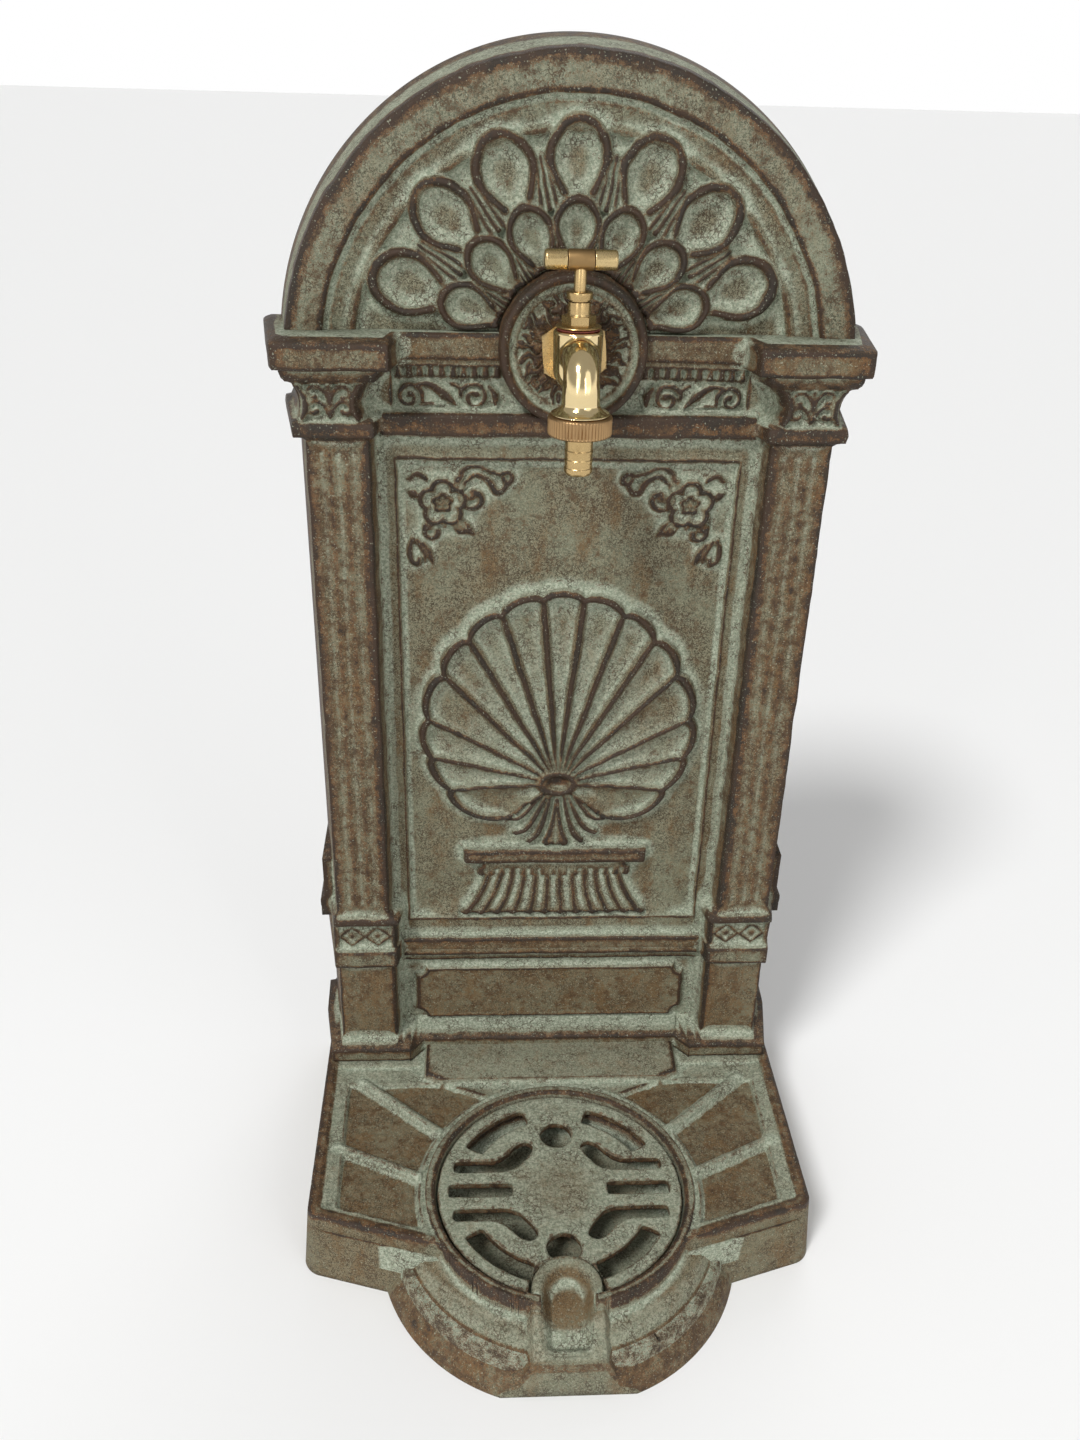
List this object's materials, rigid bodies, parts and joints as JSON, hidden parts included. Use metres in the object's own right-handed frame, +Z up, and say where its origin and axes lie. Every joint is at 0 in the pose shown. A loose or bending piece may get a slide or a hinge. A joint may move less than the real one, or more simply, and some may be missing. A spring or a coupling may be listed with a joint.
{
  "type": "drinking fountain",
  "caption": "Cast-iron drinking fountain with an arched ornamental back panel, a basin with a lift-out grate, and a screw-down brass tap with a hose union.",
  "frame": {"origin": "centre of the overall box at floor level", "axes": "+Z up, +Y towards the wall behind the fountain, front of the basin towards -Y, +X to the right of a person facing the fountain"},
  "size_m": [0.352, 0.2924, 0.688],
  "materials": {
    "iron": "painted sage green, rubbed back to brown black on the edges, with dusty stains",
    "bright_brass": "polished, slightly hammered",
    "satin_brass": "satin, as turned",
    "dull_brass": "dull, tarnished",
    "steel": "zinc plated",
    "rubber": "matte black",
    "fibre": "pressed red fibre",
    "packing": "greased yarn"
  },
  "bodies": {
    "fountain": {"back_panel": "iron", "basin": "iron", "tap_body": "bright_brass", "tap_wall_nut": "satin_brass", "tap_wall_gasket": "rubber", "tap_rear_washer": "steel", "tap_locknut": "satin_brass", "tap_bonnet": "satin_brass", "tap_bonnet_gasket": "fibre", "tap_gland_nut": "satin_brass", "tap_gland_packing": "packing", "panel_bolt_left": "steel", "panel_bolt_washer_left": "steel", "panel_nut_washer_left": "steel", "panel_nut_left": "steel", "panel_bolt_right": "steel", "panel_bolt_washer_right": "steel", "panel_nut_washer_right": "steel", "panel_nut_right": "steel"},
    "valve": {"tap_valve_jumper": "satin_brass", "tap_valve_washer": "rubber", "tap_valve_nut": "satin_brass"},
    "spindle": {"tap_spindle": "satin_brass", "tap_handle_hub": "dull_brass", "tap_handle_arm_left": "bright_brass", "tap_handle_arm_right": "bright_brass"},
    "hose_tail": {"tap_hose_tail": "satin_brass", "tap_hose_washer": "rubber"},
    "union_nut": {"tap_union_nut": "dull_brass"},
    "grate": {"grate": "iron"}
  },
  "joints": [
    {"name": "valve_lift", "type": "slide", "parent": "fountain", "child": "valve", "axis": [0, 0, 1], "range_m": [0, 0.0045]},
    {"name": "handle_turn", "type": "hinge", "parent": "valve", "child": "spindle", "pos_m": [0, 0.06625, 0.586], "axis": [0, 0, 1], "range_deg": [0, 810]},
    {"name": "hose_tail_travel", "type": "slide", "parent": "fountain", "child": "hose_tail", "axis": [0, 0, -1], "range_m": [0, 0.005]},
    {"name": "union_nut_turn", "type": "hinge", "parent": "hose_tail", "child": "union_nut", "pos_m": [0, 0.03625, 0.51], "axis": [0, 0, -1], "range_deg": [0, 992]},
    {"name": "grate_lift", "type": "slide", "parent": "fountain", "child": "grate", "axis": [0, 0, 1], "range_m": [0, 0.08]}
  ],
  "couplings": [
    {"joint": "valve_lift", "follows": "handle_turn", "m_per_rad": 0.000318},
    {"joint": "hose_tail_travel", "follows": "union_nut_turn", "m_per_rad": 0.0002887}
  ]
}
